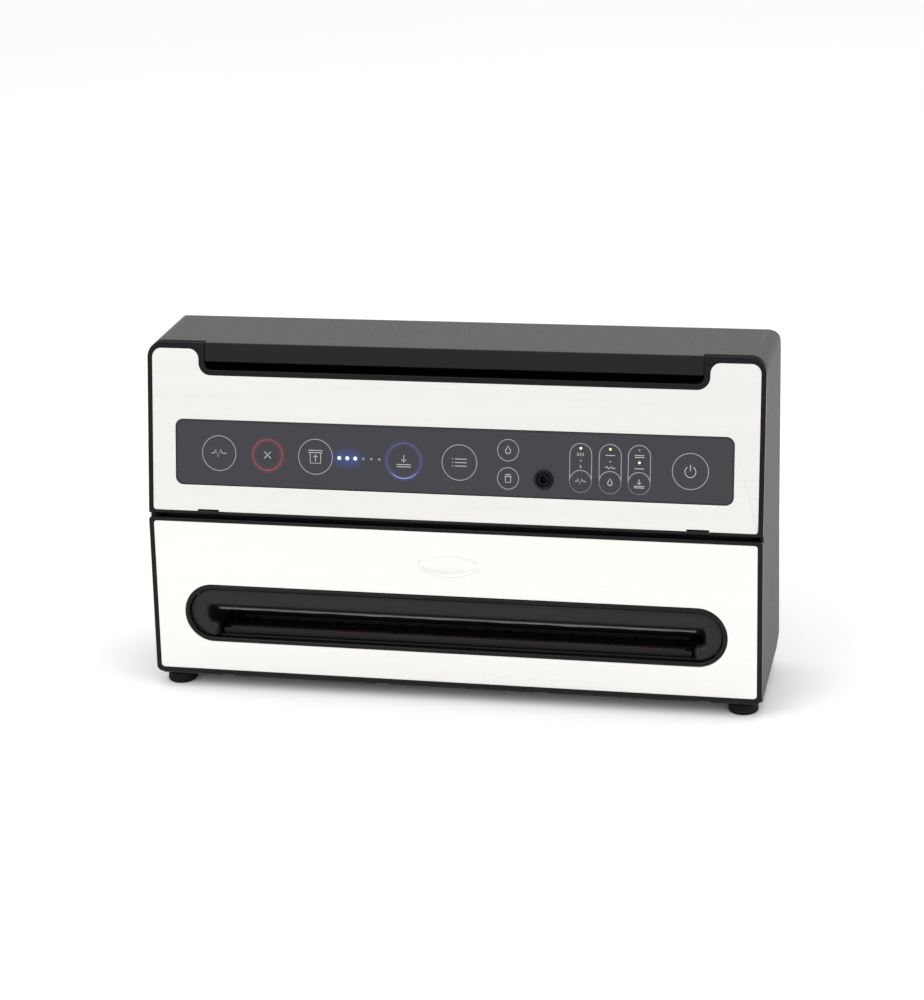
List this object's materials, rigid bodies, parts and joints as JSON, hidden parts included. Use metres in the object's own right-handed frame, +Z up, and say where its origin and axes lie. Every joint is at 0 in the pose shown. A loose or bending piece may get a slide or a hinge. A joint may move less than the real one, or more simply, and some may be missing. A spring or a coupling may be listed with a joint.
{
  "type": "vacuum sealer",
  "caption": "Upright household vacuum sealer: a leaning casing with a drop-down control door, a wide bag slot with a drip tray, and a motor-driven sealing jaw.",
  "frame": {"origin": "centre of the footprint's bounding box, on the surface that the feet stand on", "axes": "+X to the right seen from the front, +Y to the rear, +Z up; the front faces -Y"},
  "size_m": [0.394, 0.1064, 0.223],
  "materials": {
    "casing": "fine-textured moulded ABS",
    "gloss_black": "polished moulded ABS",
    "steel": "brushed along its length",
    "foil": "printed control foil, satin",
    "dark_plastic": "moulded, satin",
    "rubber": "moulded",
    "silicone": "silicone rubber",
    "tape": "coated glass-cloth tape over the heating wire",
    "zinc": "zinc plated",
    "nylon": "moulded nylon",
    "board": "lacquered circuit board",
    "copper": "wound copper on a steel core"
  },
  "bodies": {
    "chassis": {"outer_shell": "casing", "rear_cover": "casing", "base_plate": "dark_plastic", "mains_inlet": "dark_plastic", "foot_front_left": "rubber", "foot_front_right": "rubber", "foot_rear_left": "rubber", "foot_rear_right": "rubber", "rear_screw_1": "zinc", "rear_screw_2": "zinc", "rear_screw_3": "zinc", "rear_screw_4": "zinc", "lower_bezel": "gloss_black", "lower_panel": "steel", "slot_ring": "gloss_black", "slot_surround": "dark_plastic", "chamber_bed": "dark_plastic", "jaw_guide_left": "zinc", "jaw_guide_right": "zinc", "jaw_motor": "zinc", "pump_motor": "zinc", "pump_head": "dark_plastic", "pump_hose": "silicone", "transformer": "copper", "main_board": "board", "roll_compartment": "dark_plastic", "cross_rail": "dark_plastic", "hinge_knuckle_left": "gloss_black", "hinge_knuckle_right": "gloss_black", "hinge_pin_left": "zinc", "hinge_pin_right": "zinc", "catch_plate_left": "zinc", "catch_plate_right": "zinc"},
    "door": {"door_bezel": "gloss_black", "upper_panel": "steel", "control_membrane": "foil", "accessory_port": "gloss_black", "door_liner": "dark_plastic", "door_liner_rim": "dark_plastic", "control_board": "board", "door_magnet_left": "zinc", "door_magnet_right": "zinc"},
    "tray": {"drip_tray": "dark_plastic", "seal_backing": "silicone"},
    "jaw": {"upper_jaw": "dark_plastic", "heating_strip": "tape", "upper_gasket": "silicone"},
    "jaw_drive": {"jaw_shaft": "zinc", "pinion_left": "nylon", "pinion_right": "nylon", "shaft_gear": "nylon"},
    "motor_gear": {"motor_pinion": "zinc"},
    "pump_crank": {"pump_crank": "zinc"},
    "cutter_bar": {"cutter_bar": "dark_plastic"},
    "cutter_knob": {"cutter_knob": "silicone"}
  },
  "joints": [
    {"name": "door_hinge", "type": "hinge", "parent": "chassis", "child": "door", "pos_m": [0, -0.04006, 0.11682], "axis": [1, 0, 0], "range_deg": [0, 85]},
    {"name": "tray_slide", "type": "slide", "parent": "chassis", "child": "tray", "axis": [0, -0.9951, 0.0993], "range_m": [0, 0.045]},
    {"name": "jaw_slide", "type": "slide", "parent": "chassis", "child": "jaw", "axis": [0, -0.0993, -0.9951], "range_m": [0, 0.0111]},
    {"name": "jaw_shaft_turn", "type": "hinge", "parent": "chassis", "child": "jaw_drive", "pos_m": [0, -0.01324, 0.06782], "axis": [1, 0, 0], "range_deg": [0, 71.5]},
    {"name": "motor_gear_turn", "type": "hinge", "parent": "chassis", "child": "motor_gear", "pos_m": [0, -0.01114, 0.08887], "axis": [1, 0, 0], "range_deg": [-178, 0]},
    {"name": "pump_crank_turn", "type": "hinge", "parent": "chassis", "child": "pump_crank", "pos_m": [0, 0.014, 0.04], "axis": [1, 0, 0], "continuous": true},
    {"name": "cutter_bar_flip", "type": "hinge", "parent": "chassis", "child": "cutter_bar", "pos_m": [0, -0.0115, 0.1525], "axis": [-1, 0, 0], "range_deg": [0, 100]},
    {"name": "cutter_knob_slide", "type": "slide", "parent": "cutter_bar", "child": "cutter_knob", "axis": [1, 0, 0], "range_m": [0, 0.283]}
  ],
  "couplings": [
    {"joint": "jaw_shaft_turn", "follows": "jaw_slide", "rad_per_m": 111.11},
    {"joint": "motor_gear_turn", "follows": "jaw_slide", "rad_per_m": -277.78}
  ]
}
